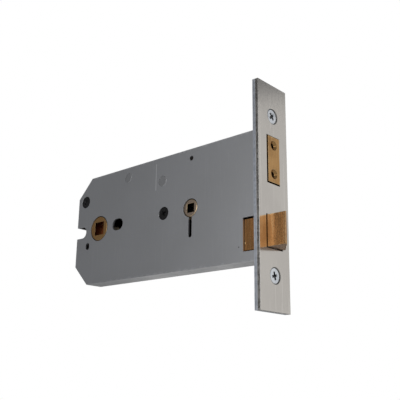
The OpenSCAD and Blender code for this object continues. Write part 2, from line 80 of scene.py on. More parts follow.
def makeCamera(setup):
    azimuth, elevation, roll = (math.radians(setup[key]) for key in ("azimuth", "elevation", "roll"))
    level = math.cos(elevation)
    back = Vector((math.sin(azimuth) * level, -math.cos(azimuth) * level, math.sin(elevation)))
    right = (-back).cross(Vector((0, 0, 1))).normalized()
    up = right.cross(-back)
    across = math.cos(roll) * right + math.sin(roll) * up
    upward = math.cos(roll) * up - math.sin(roll) * right
    turn = Matrix((across, upward, back)).transposed()
    data = bpy.data.cameras.new("camera")
    data.lens = setup["lens"]
    data.sensor_width = setup["sensor"]
    data.clip_start = setup["clipStart"]
    camera = bpy.data.objects.new("camera", data)
    camera.matrix_world = Matrix.Translation(setup["place"]) @ turn.to_4x4()
    bpy.context.scene.collection.objects.link(camera)
    bpy.context.scene.camera = camera


lightTarget = Vector((-0.06, 0, 0))  # near the middle of the lock


def makeSoftLight(name, place, size, power, colour):
    data = bpy.data.lights.new(name, "AREA")
    data.shape = "DISK"
    data.size = size
    data.energy = power
    data.color = colour
    light = bpy.data.objects.new(name, data)
    light.location = place
    aim = lightTarget - Vector(place)
    light.rotation_euler = aim.to_track_quat("-Z", "Y").to_euler()
    light.visible_camera = False
    bpy.context.scene.collection.objects.link(light)


lights = {
    "plateLight": {"place": (0.55, 0.74, 0.12), "size": 0.7, "power": 0.63, "colour": (1.0, 0.97, 0.93)},
    "caseLight": {"place": (-0.22, -0.95, 0.13), "size": 0.5, "power": 1.7, "colour": (1.0, 0.99, 0.98)},
    "frontLight": {"place": (0.55, -0.75, 0.2), "size": 0.6, "power": 1.35, "colour": (1.0, 0.99, 0.97)},
    "topLight": {"place": (-0.2, 0.1, 1.2), "size": 1.0, "power": 3.0, "colour": (1.0, 1.0, 1.0)},
    "lowLight": {"place": (-0.45, 0.65, -0.13), "size": 0.5, "power": 0.8, "colour": (1.0, 0.98, 0.95)},
}

studio = {
    "surround": (0.235, 0.238, 0.245),
    "backdrop": (1.0, 1.0, 1.0),
    "floorDrop": 0.1,
    "floorRadius": 1.5,
    "floorSides": 96,
    "floorColour": (0.82, 0.82, 0.81),
    "floorRoughness": 0.8,
}


def addNode(tree, kind, **settings):
    node = tree.nodes.new(kind)
    for setting, value in settings.items():
        setattr(node, setting, value)
    return node


def feed(tree, socket, value):
    if isinstance(value, bpy.types.NodeSocket):
        tree.links.new(value, socket)
    else:
        socket.default_value = value


def colourOf(rgb):
    return (*rgb, 1.0)


def makeStudio(setup):
    world = bpy.data.worlds.new("studio")
    world.use_nodes = True
    tree = world.node_tree
    tree.nodes.clear()
    seen = addNode(tree, "ShaderNodeLightPath").outputs["Is Camera Ray"]
    shades = []
    for key in ("surround", "backdrop"):
        shade = addNode(tree, "ShaderNodeBackground")
        shade.inputs["Color"].default_value = colourOf(setup[key])
        shades.append(shade.outputs[0])
    mixed = addNode(tree, "ShaderNodeMixShader")
    for socket, value in zip(mixed.inputs, (seen, *shades)):
        tree.links.new(value, socket)
    tree.links.new(mixed.outputs[0], addNode(tree, "ShaderNodeOutputWorld").inputs["Surface"])
    bpy.context.scene.world = world

    bm = bmesh.new()
    bmesh.ops.create_circle(bm, cap_ends=True, segments=setup["floorSides"], radius=setup["floorRadius"])
    for v in bm.verts:
        v.co.z = cadLow.z - setup["floorDrop"]
    mesh = bpy.data.meshes.new("floor")
    bm.to_mesh(mesh)
    bm.free()
    paint = bpy.data.materials.new("paleFloor")
    paint.use_nodes = True
    shader = paint.node_tree.nodes["Principled BSDF"]
    shader.inputs["Base Color"].default_value = colourOf(setup["floorColour"])
    shader.inputs["Roughness"].default_value = setup["floorRoughness"]
    mesh.materials.append(paint)
    floor = bpy.data.objects.new("floor", mesh)
    bpy.context.scene.collection.objects.link(floor)


makeCamera(cameraSetup)
for name, light in lights.items():
    makeSoftLight(name, **light)
makeStudio(studio)
bpy.context.scene.view_settings.view_transform = "Standard"
print("camera, lights and floor are set")

# Shader helpers


def calc(tree, operation, *values):
    node = addNode(tree, "ShaderNodeMath", operation=operation)
    for socket, value in zip(node.inputs, values):
        feed(tree, socket, value)
    return node.outputs[0]


def vectorCalc(tree, operation, *values):
    node = addNode(tree, "ShaderNodeVectorMath", operation=operation)
    for socket, value in zip(node.inputs, values):
        feed(tree, socket, value)
    return node.outputs[0]


def separate(tree, vector):
    node = addNode(tree, "ShaderNodeSeparateXYZ")
    feed(tree, node.inputs[0], vector)
    return node.outputs


def gap(tree, first, second):  # how far apart two values are
    return calc(tree, "ABSOLUTE", calc(tree, "SUBTRACT", first, second))


def distance(tree, across, along):  # straight distance from its two parts
    squares = [calc(tree, "MULTIPLY", part, part) for part in (across, along)]
    return calc(tree, "SQRT", calc(tree, "ADD", *squares))


def noise(tree, vector, scale, detail):
    node = addNode(tree, "ShaderNodeTexNoise")
    feed(tree, node.inputs["Vector"], vector)
    feed(tree, node.inputs["Scale"], scale)
    feed(tree, node.inputs["Detail"], detail)
    return node.outputs[0]


def ramp(tree, value, low, high, toLow=0.0, toHigh=1.0):
    node = addNode(tree, "ShaderNodeMapRange", interpolation_type="SMOOTHSTEP")
    for socket, setting in zip(node.inputs, (value, low, high, toLow, toHigh)):
        feed(tree, socket, setting)
    return node.outputs[0]


def mixColour(tree, amount, first, second):
    node = addNode(tree, "ShaderNodeMix", data_type="RGBA")
    for index, value in zip((0, 6, 7), (amount, first, second)):  # 6 and 7 are its colours
        feed(tree, node.inputs[index], value)
    return node.outputs[2]


socketKinds = {"v": "NodeSocketVector", "f": "NodeSocketFloat"}


def newGroup(name, inputs, outputs):
    tree = bpy.data.node_groups.new(name, "ShaderNodeTree")
    for label, kind in inputs.items():
        tree.interface.new_socket(name=label, in_out="INPUT", socket_type=socketKinds[kind])
    for label in outputs:
        tree.interface.new_socket(name=label, in_out="OUTPUT", socket_type="NodeSocketFloat")
    return tree, addNode(tree, "NodeGroupInput").outputs, addNode(tree, "NodeGroupOutput").inputs


def useGroup(tree, group, **values):
    node = addNode(tree, "ShaderNodeGroup")
    node.node_tree = group
    for label, value in values.items():
        feed(tree, node.inputs[label], value)
    return node.outputs


brushLines = {"finer": 3.3, "broadShare": 0.6, "fineShare": 0.4, "contrast": (0.36, 0.64), "detail": 2.0}


def brushMarksGroup(setup):  # long fine lines left by a brush or a cutter
    tree, given, made = newGroup("brushMarks", {"Vector": "v", "Stretch": "v", "Fineness": "f"}, ["Lines"])
    place = vectorCalc(tree, "MULTIPLY", given["Vector"], given["Stretch"])
    broad = noise(tree, place, given["Fineness"], setup["detail"])
    fine = noise(tree, place, calc(tree, "MULTIPLY", given["Fineness"], setup["finer"]), setup["detail"])
    broad = calc(tree, "MULTIPLY", broad, setup["broadShare"])
    both = calc(tree, "MULTIPLY_ADD", fine, setup["fineShare"], broad)
    feed(tree, made["Lines"], ramp(tree, both, *setup["contrast"]))
    return tree


cloudTone = {"contrast": (0.36, 0.64), "detail": 5.0, "grainFiner": 38.0, "grainDetail": 3.0}


def cloudyToneGroup(setup):  # the uneven tone of plating and of old brass
    tree, given, made = newGroup("cloudyTone", {"Vector": "v", "Scale": "f"}, ["Mask", "Grain"])
    wide = noise(tree, given["Vector"], given["Scale"], setup["detail"])
    feed(tree, made["Mask"], ramp(tree, wide, *setup["contrast"]))
    grainScale = calc(tree, "MULTIPLY", given["Scale"], setup["grainFiner"])
    feed(tree, made["Grain"], noise(tree, given["Vector"], grainScale, setup["grainDetail"]))
    return tree


scratchLines = {
    "swayScale": 60.0,
    "sway": (0.0012, 0.0012, 0.0012),
    "turns": ((0.2, 0.5, 0.3), (0.9, -0.7, 0.4), (-0.5, 1.3, 1.1)),
    "stretch": (1.0, 1.0, 0.03),
    "softness": 0.03,
}


def fineScratchesGroup(setup):  # sparse thin scratches in three directions
    tree, given, made = newGroup("fineScratches", {"Vector": "v", "Scale": "f", "Rarity": "f"}, ["Mask"])
    bend = addNode(tree, "ShaderNodeTexNoise")
    feed(tree, bend.inputs["Vector"], given["Vector"])
    bend.inputs["Scale"].default_value = setup["swayScale"]
    sway = vectorCalc(tree, "MULTIPLY", bend.outputs["Color"], setup["sway"])
    place = vectorCalc(tree, "ADD", given["Vector"], sway)
    total = 0.0
    for turn in setup["turns"]:
        mapping = addNode(tree, "ShaderNodeMapping")
        feed(tree, mapping.inputs["Vector"], place)
        mapping.inputs["Rotation"].default_value = turn
        mapping.inputs["Scale"].default_value = setup["stretch"]
        lines = noise(tree, mapping.outputs[0], given["Scale"], 0.0)
        line = ramp(tree, lines, given["Rarity"], calc(tree, "ADD", given["Rarity"], setup["softness"]))
        total = calc(tree, "MAXIMUM", total, line)
    feed(tree, made["Mask"], total)
    return tree


edgeWear = {"patchScale": 420.0, "patchDetail": 4.0, "patches": (0.35, 0.7), "reach": (0.15, 1.6), "fade": (0.2, 1.0)}


def boxEdgeWearGroup(setup):  # rubbed edges of a squared piece, from its low and high corners
    sockets = {"Vector": "v", "Low": "v", "High": "v", "Width": "f"}
    tree, given, made = newGroup("boxEdgeWear", sockets, ["Mask"])
    fromLow = vectorCalc(tree, "SUBTRACT", given["Vector"], given["Low"])
    fromHigh = vectorCalc(tree, "SUBTRACT", given["High"], given["Vector"])
    near = vectorCalc(tree, "MINIMUM", fromLow, fromHigh)
    x, y, z = separate(tree, near)
    smaller = calc(tree, "MINIMUM", x, y)
    larger = calc(tree, "MAXIMUM", x, y)
    middle = calc(tree, "MAXIMUM", smaller, calc(tree, "MINIMUM", larger, z))  # small only near two faces at once
    patches = noise(tree, given["Vector"], setup["patchScale"], setup["patchDetail"])
    reach = calc(tree, "MULTIPLY", given["Width"], ramp(tree, patches, *setup["patches"], *setup["reach"]))
    feed(tree, made["Mask"], ramp(tree, calc(tree, "DIVIDE", middle, reach), *setup["fade"], 1.0, 0.0))
    return tree


brushMarks = brushMarksGroup(brushLines)
cloudyTone = cloudyToneGroup(cloudTone)
fineScratches = fineScratchesGroup(scratchLines)
boxEdgeWear = boxEdgeWearGroup(edgeWear)

surface = {  # what every metal here shares
    "streaks": (0.35, 0.65, 0.75, 1.0),  # how the plates' cut edges vary
    "evenShare": 0.5,
    "scratchGloss": -0.27,
    "scratchDepth": -2.0,
    "bumpStrength": 0.5,
    "bumpDistance": 0.00002,
}


def makeMetal(name, look, low, high, marks=None):
    material = bpy.data.materials.new(name)
    material.use_nodes = True
    tree = material.node_tree
    tree.nodes.clear()
    shader = addNode(tree, "ShaderNodeBsdfPrincipled")
    place = addNode(tree, "ShaderNodeTexCoord").outputs["Object"]
    lines = useGroup(tree, brushMarks, Vector=place, Stretch=look["stretch"], Fineness=look["fineness"])["Lines"]
    tone = useGroup(tree, cloudyTone, Vector=place, Scale=look["cloudScale"])
    scratch = useGroup(tree, fineScratches, Vector=place, Scale=look["scratchScale"], Rarity=look["rarity"])["Mask"]
    rubbed = useGroup(tree, boxEdgeWear, Vector=place, Low=low, High=high, Width=look["wearWidth"])["Mask"]
    bevel = addNode(tree, "ShaderNodeAttribute", attribute_name="edge").outputs["Fac"]
    side = addNode(tree, "ShaderNodeAttribute", attribute_name="side").outputs["Fac"]

    main, shade, worn = (colourOf(look[key]) for key in ("colour", "shade", "worn"))
    colour = mixColour(tree, calc(tree, "MULTIPLY", tone["Mask"], look["cloud"]), main, shade)
    colour = mixColour(tree, calc(tree, "MULTIPLY", lines, look["brush"]), colour, shade)
    if "side" in look:
        streaks = ramp(tree, tone["Grain"], *surface["streaks"])
        colour = mixColour(tree, calc(tree, "MULTIPLY", side, streaks), colour, colourOf(look["side"]))
    if marks:
        colour = marks(tree, place, colour)
    rubbed = calc(tree, "MULTIPLY", rubbed, look["wear"])
    wear = calc(tree, "MAXIMUM", rubbed, calc(tree, "MULTIPLY", bevel, look["edge"]))
    colour = mixColour(tree, wear, colour, worn)
    colour = mixColour(tree, calc(tree, "MULTIPLY", scratch, look["scratch"]), colour, worn)
    feed(tree, shader.inputs["Base Color"], colour)
    shader.inputs["Metallic"].default_value = look["metallic"]

    clouds = calc(tree, "MULTIPLY", tone["Mask"], surface["evenShare"])
    uneven = calc(tree, "MULTIPLY_ADD", lines, surface["evenShare"], clouds)
    rough = ramp(tree, uneven, 0.0, 1.0, *look["rough"])
    rough = calc(tree, "MULTIPLY_ADD", side, look.get("sideRough", 0.0), rough)
    rough = calc(tree, "MULTIPLY_ADD", scratch, surface["scratchGloss"] * look["scratch"], rough)
    feed(tree, shader.inputs["Roughness"], rough)

    grain = calc(tree, "MULTIPLY", tone["Grain"], look["grainBump"])
    height = calc(tree, "MULTIPLY_ADD", lines, look["lineBump"], grain)
    height = calc(tree, "MULTIPLY_ADD", scratch, surface["scratchDepth"] * look["scratch"], height)
    bump = addNode(tree, "ShaderNodeBump")
    bump.inputs["Strength"].default_value = surface["bumpStrength"]
    bump.inputs["Distance"].default_value = surface["bumpDistance"]
    feed(tree, bump.inputs["Height"], height)
    feed(tree, shader.inputs["Normal"], bump.outputs[0])
    tree.links.new(shader.outputs[0], addNode(tree, "ShaderNodeOutputMaterial").inputs["Surface"])
    return material


# Finishes

plainLook = {
    "stretch": (1, 1, 1), "fineness": 900, "cloudScale": 55, "scratchScale": 900, "rarity": 0.74,
    "wearWidth": 0.0012, "cloud": 0.6, "brush": 0.2, "wear": 0.35, "edge": 0.5, "scratch": 0.3,
    "metallic": 1.0, "rough": (0.3, 0.45), "lineBump": 0.3, "grainBump": 0.5,
}

caseSheetLook = {
    **plainLook, "colour": (0.385, 0.392, 0.405), "shade": (0.345, 0.352, 0.37), "worn": (0.64, 0.65, 0.67),
    "fineness": 1100, "cloudScale": 38, "metallic": 0.85, "rough": (0.36, 0.44),
    "cloud": 0.45, "wear": 0.25, "edge": 0.6, "scratch": 0.05, "grainBump": 0.8,
}
zincPlateLook = {
    **plainLook, "colour": (0.42, 0.45, 0.50), "shade": (0.34, 0.37, 0.42), "worn": (0.62, 0.64, 0.68),
    "stretch": (1, 1, 0.05), "fineness": 1600, "rough": (0.32, 0.45), "side": (0.33, 0.355, 0.40), "sideRough": 0.08,
}
satinPlateLook = {
    **plainLook, "colour": (0.60, 0.58, 0.55), "shade": (0.53, 0.51, 0.485), "worn": (0.74, 0.72, 0.69),
    "stretch": (1, 1, 0.02), "fineness": 3200, "cloudScale": 30, "rough": (0.15, 0.22), "cloud": 0.35, "brush": 0.4,
    "wear": 0.2, "edge": 0.35, "scratch": 0.25, "lineBump": 0.5, "grainBump": 0.15,
    # the near-black cut edges are painted shade for the outer forend's dark edge
    "side": (0.09, 0.085, 0.078), "sideRough": 0.2,
}
brightZincLook = {
    **plainLook, "colour": (0.74, 0.78, 0.83), "shade": (0.60, 0.65, 0.71), "worn": (0.9, 0.92, 0.95),
    "fineness": 2400, "cloudScale": 260, "rough": (0.16, 0.28), "scratch": 0.2,
}
blackZincLook = {
    **plainLook, "colour": (0.007, 0.007, 0.008), "shade": (0.012, 0.012, 0.013), "worn": (0.07, 0.07, 0.074),
    "fineness": 2400, "cloudScale": 260, "metallic": 0.6, "rough": (0.4, 0.5), "edge": 0.2, "wear": 0.0,
}
plainSteelLook = {
    **plainLook, "colour": (0.42, 0.43, 0.44), "shade": (0.33, 0.335, 0.345), "worn": (0.6, 0.6, 0.61),
    "stretch": (0.05, 1, 1), "fineness": 1500,
}
postLook = {
    **plainSteelLook, "colour": (0.32, 0.325, 0.335), "shade": (0.28, 0.285, 0.295), "worn": (0.62, 0.63, 0.64),
    "stretch": (1, 1, 1), "metallic": 0.85, "rough": (0.38, 0.46), "edge": 0.8, "wear": 0.0,
}
springSteelLook = {
    **plainLook, "colour": (0.55, 0.55, 0.56), "shade": (0.44, 0.44, 0.46), "worn": (0.7, 0.7, 0.71),
    "fineness": 3500, "cloudScale": 300, "rough": (0.2, 0.32), "wear": 0.0,
}
# near black: the steel's own dark finish, darkened further as painted shade for the rollers' deep bores in the bolt's
# end
darkSteelLook = {
    **plainLook, "colour": (0.03, 0.026, 0.024), "shade": (0.018, 0.016, 0.015), "worn": (0.09, 0.085, 0.08),
    "fineness": 2500, "cloudScale": 300, "rough": (0.5, 0.65), "wear": 0.0, "edge": 0.2,
}
brassLook = {
    **plainLook, "colour": (0.51, 0.30, 0.12), "shade": (0.36, 0.195, 0.072), "worn": (0.84, 0.64, 0.36),
    "stretch": (1, 1, 0.04), "fineness": 2200, "cloudScale": 90, "rough": (0.2, 0.32), "cloud": 0.55, "brush": 0.35,
    "edge": 0.6, "wearWidth": 0.0006, "lineBump": 0.5, "grainBump": 0.25, "scratch": 0.12,
}
# a darker, redder copy of the brass: its darkness is painted shade for the latch's side, which faces away from the
# light
latchBrassLook = {**brassLook, "colour": (0.42, 0.21, 0.08), "shade": (0.31, 0.14, 0.05), "edge": 0.45}
snibBrassLook = {**brassLook, "colour": (0.44, 0.345, 0.27), "shade": (0.32, 0.245, 0.185), "rough": (0.26, 0.36)}

# Pieces that keep their CAD shape: a copy is cleaned and its edges are rounded, in millimetres


def newObject(name, mesh):
    piece = bpy.data.objects.new(name, mesh)
    bpy.context.scene.collection.objects.link(piece)
    return piece


def applyModifiers(piece):
    shown = piece.evaluated_get(bpy.context.evaluated_depsgraph_get())
    mesh = bpy.data.meshes.new_from_object(shown)
    piece.modifiers.clear()
    old = piece.data
    piece.data = mesh
    bpy.data.meshes.remove(old)


edges = {
    "segments": 2,
    "bevelled": math.radians(32),  # sharper edges than this are rounded
    "sharp": math.radians(50),
    "square": 0.99999,  # a face this close to an axis is a squared one
    "weld": 0.0005,
    "flat": math.radians(0.3),
    "cutEdge": 0.75,
}


def roundEdges(piece, width):
    for name in ("plain", "rounded"):  # the bevel marks its own faces through the second slot
        piece.data.materials.append(bpy.data.materials.get(name) or bpy.data.materials.new(name))
    bevel = piece.modifiers.new("bevel", "BEVEL")
    bevel.width = width
    bevel.segments = edges["segments"]
    bevel.limit_method = "ANGLE"
    bevel.angle_limit = edges["bevelled"]
    bevel.material = 1
    applyModifiers(piece)
    mesh = piece.data
    rounded = [float(p.material_index == 1) for p in mesh.polygons]
    mesh.attributes.new("edge", "FLOAT", "FACE").data.foreach_set("value", rounded)
    mesh.polygons.foreach_set("material_index", [0] * len(mesh.polygons))
    mesh.materials.clear()
    mesh.set_sharp_from_angle(angle=edges["sharp"])
    curved = [mark > 0 or max(map(abs, p.normal)) < edges["square"] for mark, p in zip(rounded, mesh.polygons)]
    mesh.polygons.foreach_set("use_smooth", curved)  # squared faces keep flat shading
    even = piece.modifiers.new("even", "WEIGHTED_NORMAL")
    even.keep_sharp = True
    applyModifiers(piece)


def markSides(piece, face):  # faces that don't look along the given axis are the plate's cut edges
    sides = [float(abs(p.normal[face]) < edges["cutEdge"]) for p in piece.data.polygons]
    piece.data.attributes.new("side", "FLOAT", "FACE").data.foreach_set("value", sides)


def cleanCopy(node, name):
    mesh = bpy.data.meshes.new(name)
    bm = bmesh.new()
    bm.from_mesh(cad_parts[node].data)
    bmesh.ops.scale(bm, vec=(1 / mm, 1 / mm, 1 / mm), verts=bm.verts)
    bmesh.ops.remove_doubles(bm, verts=bm.verts, dist=edges["weld"])
    bmesh.ops.dissolve_limit(bm, angle_limit=edges["flat"], verts=bm.verts, edges=bm.edges)
    bm.to_mesh(mesh)
    bm.free()
    return newObject(name, mesh)


def placePiece(piece, node, body, material):
    piece.data.materials.clear()
    piece.data.materials.append(material)
    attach(piece, body)
    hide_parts(node)


def makePlate(name, node, body, slot, look, bevel, face=None, marks=None):
    piece = cleanCopy(node, name)
    roundEdges(piece, bevel)
    piece.data.transform(Matrix.Scale(mm, 4))
    if face is not None:
        markSides(piece, face)
    low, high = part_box(node)
    placePiece(piece, node, body, makeMetal(name + "Finish", look, low, high, marks))
    print("made", name)


caseInside = {
    "half": 5.2 * mm,  # sheets' inner faces
    "top": 32.9 * mm,
    "rear": -147.4 * mm,
    "chamfer": 169 * mm,  # sum of depth and height on the chamfers' inner faces
    # the colour of the painted shade inside the case
    "tone": (0.11, 0.09, 0.072),
}


def paintInsideShade(tree, place, colour):  # painted shade on the sheet inside the case, where little light reaches
    x, y, z = separate(tree, place)
    height = calc(tree, "ABSOLUTE", z)
    inside = calc(tree, "LESS_THAN", calc(tree, "ABSOLUTE", y), caseInside["half"])
    for test in (
        calc(tree, "LESS_THAN", height, caseInside["top"]),
        calc(tree, "GREATER_THAN", x, caseInside["rear"]),
        calc(tree, "LESS_THAN", calc(tree, "SUBTRACT", height, x), caseInside["chamfer"]),
    ):
        inside = calc(tree, "MULTIPLY", inside, test)
    return mixColour(tree, inside, colour, colourOf(caseInside["tone"]))


coverMarks = {
    "lineX": -78.2 * mm,
    "lineLow": 15 * mm,
    "lineHigh": 31 * mm,
    "lineWidth": 0.45 * mm,
    "lineTone": (0.62, 0.63, 0.64),
    "pipX": -17.5 * mm,
    "pipZ": -26.2 * mm,
    "pipFlat": 0.2 * mm,
    "pipRadius": 0.5 * mm,
    "pipTone": (0.05, 0.05, 0.055),
}


def drawCoverMarks(tree, place, colour):  # a scribed line and a small punched pip on the cover, then painted shade inside the case
    x, y, z = separate(tree, place)
    front = calc(tree, "LESS_THAN", y, -caseInside["half"])
    line = ramp(tree, gap(tree, x, coverMarks["lineX"]), 0.0, coverMarks["lineWidth"], 1.0, 0.0)
    above = calc(tree, "GREATER_THAN", z, coverMarks["lineLow"])
    below = calc(tree, "LESS_THAN", z, coverMarks["lineHigh"])
    line = calc(tree, "MULTIPLY", calc(tree, "MULTIPLY", line, calc(tree, "MULTIPLY", above, below)), front)
    colour = mixColour(tree, line, colour, colourOf(coverMarks["lineTone"]))
    away = distance(tree, gap(tree, x, coverMarks["pipX"]), gap(tree, z, coverMarks["pipZ"]))
    pip = ramp(tree, away, coverMarks["pipFlat"], coverMarks["pipRadius"], 1.0, 0.0)
    pip = calc(tree, "MULTIPLY", pip, front)
    colour = mixColour(tree, pip, colour, colourOf(coverMarks["pipTone"]))
    return paintInsideShade(tree, place, colour)


hubMarks = {
    "inner": 5.3 * mm,  # painted shade on the hub deeper than this, inside the case
    "insideTone": (0.07, 0.048, 0.028),
    "crescentShadeStart": 0.55 * mm,  # the painted shade crescent, in from the rim
    "crescentShadeEnd": 0.3 * mm,
    "crescentShadeSide": (-0.1, 0.5),  # fades in towards the forend
    # the colour of the painted shade crescent
    "crescentShadeTone": (0.035, 0.03, 0.022),
}


def paintHubShade(middle, rim, half, holeShadeTone):  # painted shade inside the case, a painted shade crescent at the rim on the forend side, and painted shade in the square hole
    def draw(tree, place, colour):
        x, y, z = separate(tree, place)
        inner = calc(tree, "LESS_THAN", calc(tree, "ABSOLUTE", y), hubMarks["inner"])
        colour = mixColour(tree, inner, colour, colourOf(hubMarks["insideTone"]))
        forward = calc(tree, "SUBTRACT", x, middle)
        radius = distance(tree, forward, z)
        side = ramp(tree, calc(tree, "DIVIDE", forward, radius), *hubMarks["crescentShadeSide"])
        crescentShade = ramp(tree, radius, rim - hubMarks["crescentShadeStart"], rim - hubMarks["crescentShadeEnd"])
        colour = mixColour(tree, calc(tree, "MULTIPLY", crescentShade, side), colour, colourOf(hubMarks["crescentShadeTone"]))
        reach = calc(tree, "MAXIMUM", calc(tree, "ABSOLUTE", forward), calc(tree, "ABSOLUTE", z))
        # painted shade in the square hole
        return mixColour(tree, calc(tree, "LESS_THAN", reach, half), colour, colourOf(holeShadeTone))

    return draw


caseTray = {
    "node": "case_tray", "body": "case", "slot": "case_sheet", "look": caseSheetLook, "bevel": 0.14,
    "marks": paintInsideShade,
}
makePlate("caseTray", **caseTray)

coverPlate = {
    "node": "cover_plate", "body": "case", "slot": "case_sheet", "look": caseSheetLook, "bevel": 0.14,
    "marks": drawCoverMarks,
}
makePlate("coverPlate", **coverPlate)

innerForend = {
    "node": "inner_forend", "body": "case", "slot": "zinc_plate", "look": zincPlateLook, "bevel": 0.15, "face": 0,
}
makePlate("innerForend", **innerForend)

outerForend = {
    "node": "outer_forend", "body": "case", "slot": "satin_plate", "look": satinPlateLook, "bevel": 0.18, "face": 0,
}
makePlate("outerForend", **outerForend)

latchHead = {"node": "latch_head", "body": "latch", "slot": "cast_brass", "look": latchBrassLook, "bevel": 0.22}
makePlate("latchHead", **latchHead)

deadboltHead = {"node": "deadbolt_head", "body": "deadbolt", "slot": "cast_brass", "look": brassLook, "bevel": 0.16}
makePlate("deadboltHead", **deadboltHead)

follower = {
    "node": "follower", "body": "follower", "slot": "cast_brass", "look": brassLook, "bevel": 0.15,
    "marks": paintHubShade(middle=-127.3 * mm, rim=7.6 * mm, half=4.08 * mm, holeShadeTone=(0.15, 0.045, 0.015)),
}
makePlate("follower", **follower)

snibFollower = {
    "node": "snib_follower", "body": "snib", "slot": "cast_brass", "look": snibBrassLook, "bevel": 0.12,
    "marks": paintHubShade(middle=-50.9 * mm, rim=5.2 * mm, half=2.58 * mm, holeShadeTone=(0.008, 0.008, 0.009)),
}
makePlate("snibFollower", **snibFollower)

latchTail = {"node": "latch_tail", "body": "latch", "slot": "plain_steel", "look": plainSteelLook, "bevel": 0.12}
makePlate("latchTail", **latchTail)

boltTail = {"node": "bolt_tail", "body": "deadbolt", "slot": "plain_steel", "look": plainSteelLook, "bevel": 0.12}
makePlate("boltTail", **boltTail)

springAbutment = {
    "node": "spring_abutment", "body": "case", "slot": "plain_steel", "look": plainSteelLook, "bevel": 0.12,
}
makePlate("springAbutment", **springAbutment)

detentSpring = {
    "node": "detent_spring", "body": "case", "slot": "spring_steel", "look": springSteelLook, "bevel": 0.05,
}
makePlate("detentSpring", **detentSpring)

# Screws, posts, rivets and rollers are copies of one pattern each


def setInput(modifier, tree, label, value):
    for item in tree.interface.items_tree:
        if item.item_type == "SOCKET" and item.in_out == "INPUT" and item.name == label:
            modifier[item.identifier] = value


def newGeometryTree(name, inputs):
    tree = bpy.data.node_groups.new(name, "GeometryNodeTree")
    tree.interface.new_socket(name="Geometry", in_out="INPUT", socket_type="NodeSocketGeometry")
    for label, kind in inputs.items():
        tree.interface.new_socket(name=label, in_out="INPUT", socket_type=kind)
    tree.interface.new_socket(name="Geometry", in_out="OUTPUT", socket_type="NodeSocketGeometry")
    return tree, addNode(tree, "NodeGroupInput").outputs, addNode(tree, "NodeGroupOutput").inputs


def copiesTree():
    inputs = {"Pattern": "NodeSocketObject", "Axis": "NodeSocketVector", "Finish": "NodeSocketMaterial"}
    tree, given, made = newGeometryTree("copiesAtPoints", inputs)
    pattern = addNode(tree, "GeometryNodeObjectInfo")
    feed(tree, pattern.inputs["Object"], given["Pattern"])
    spin = addNode(tree, "GeometryNodeInputNamedAttribute", data_type="FLOAT")
    spin.inputs["Name"].default_value = "spin"
    turn = addNode(tree, "ShaderNodeVectorMath", operation="SCALE")
    feed(tree, turn.inputs["Vector"], given["Axis"])
    feed(tree, turn.inputs["Scale"], spin.outputs["Attribute"])
    copies = addNode(tree, "GeometryNodeInstanceOnPoints")
    feed(tree, copies.inputs["Points"], given["Geometry"])
    feed(tree, copies.inputs["Instance"], pattern.outputs["Geometry"])
    feed(tree, copies.inputs["Rotation"], turn.outputs["Vector"])
    real = addNode(tree, "GeometryNodeRealizeInstances")
    feed(tree, real.inputs["Geometry"], copies.outputs["Instances"])
    finish = addNode(tree, "GeometryNodeSetMaterial")
    feed(tree, finish.inputs["Geometry"], real.outputs["Geometry"])
    feed(tree, finish.inputs["Material"], given["Finish"])
    feed(tree, made["Geometry"], finish.outputs["Geometry"])
    return tree


copiesAtPoints = copiesTree()
axes = {  # how a pattern that points up is laid down, and the line that it spins about
    "+X": {"index": 0, "lay": Matrix.Rotation(math.radians(90), 4, "Y"), "spin": (1, 0, 0)},
    "-Y": {"index": 1, "lay": Matrix.Rotation(math.radians(90), 4, "X"), "spin": (0, 1, 0)},
}
latheSides = 56


def latheMesh(name, outline):  # outline is (radius, height) from the top's middle to the bottom's middle
    mesh = bpy.data.meshes.new(name)
    bm = bmesh.new()
    rings = []
    for radius, height in outline[1:-1]:
        ring = []
        for i in range(latheSides):
            angle = 2 * math.pi * i / latheSides
            ring.append(bm.verts.new((radius * math.cos(angle), radius * math.sin(angle), height)))
        rings.append(ring)
    top = bm.verts.new((0, 0, outline[0][1]))
    bottom = bm.verts.new((0, 0, outline[-1][1]))
    for i in range(latheSides):
        j = (i + 1) % latheSides
        bm.faces.new((top, rings[0][i], rings[0][j]))
        for upper, lower in zip(rings, rings[1:]):
            bm.faces.new((upper[i], lower[i], lower[j], upper[j]))
        bm.faces.new((bottom, rings[-1][j], rings[-1][i]))
    bm.to_mesh(mesh)
    bm.free()
    return mesh


crossTaper = {"above": 0.4, "reach": 0.17, "wing": 0.3}  # height over the head, and what is left at the bottom


def crossCutter(width, wing, depth):  # a tapered cross for the driver's recess
    bm = bmesh.new()
    levels = []
    top = (crossTaper["above"], width / 2, wing / 2)
    bottom = (-depth, width * crossTaper["reach"], wing * crossTaper["wing"])
    for height, reach, half in (top, bottom):
        points = [
            (half, half), (half, reach), (-half, reach), (-half, half), (-reach, half), (-reach, -half),
            (-half, -half), (-half, -reach), (half, -reach), (half, -half), (reach, -half), (reach, half),
        ]
        levels.append([bm.verts.new((x, y, height)) for x, y in points])
    upper, lower = levels
    bm.faces.new(upper)
    bm.faces.new(lower[::-1])
    for i in range(len(upper)):
        j = (i + 1) % len(upper)
        bm.faces.new((upper[j], upper[i], lower[i], lower[j]))
    bmesh.ops.recalc_face_normals(bm, faces=bm.faces)
    mesh = bpy.data.meshes.new("crossCutter")
    bm.to_mesh(mesh)
    bm.free()
    return newObject("crossCutter", mesh)


screwShape = {
    "flat": 0.35,  # the head's face stops this far inside its rim
    "drop": 0.03,
    "rim": 0.12,
    "edge": 0.24,
    "neck": 0.1,
    "neckTop": 0.14,
    "neckLow": 0.3,
    "tip": 0.4,
    "bevel": 0.06,
}


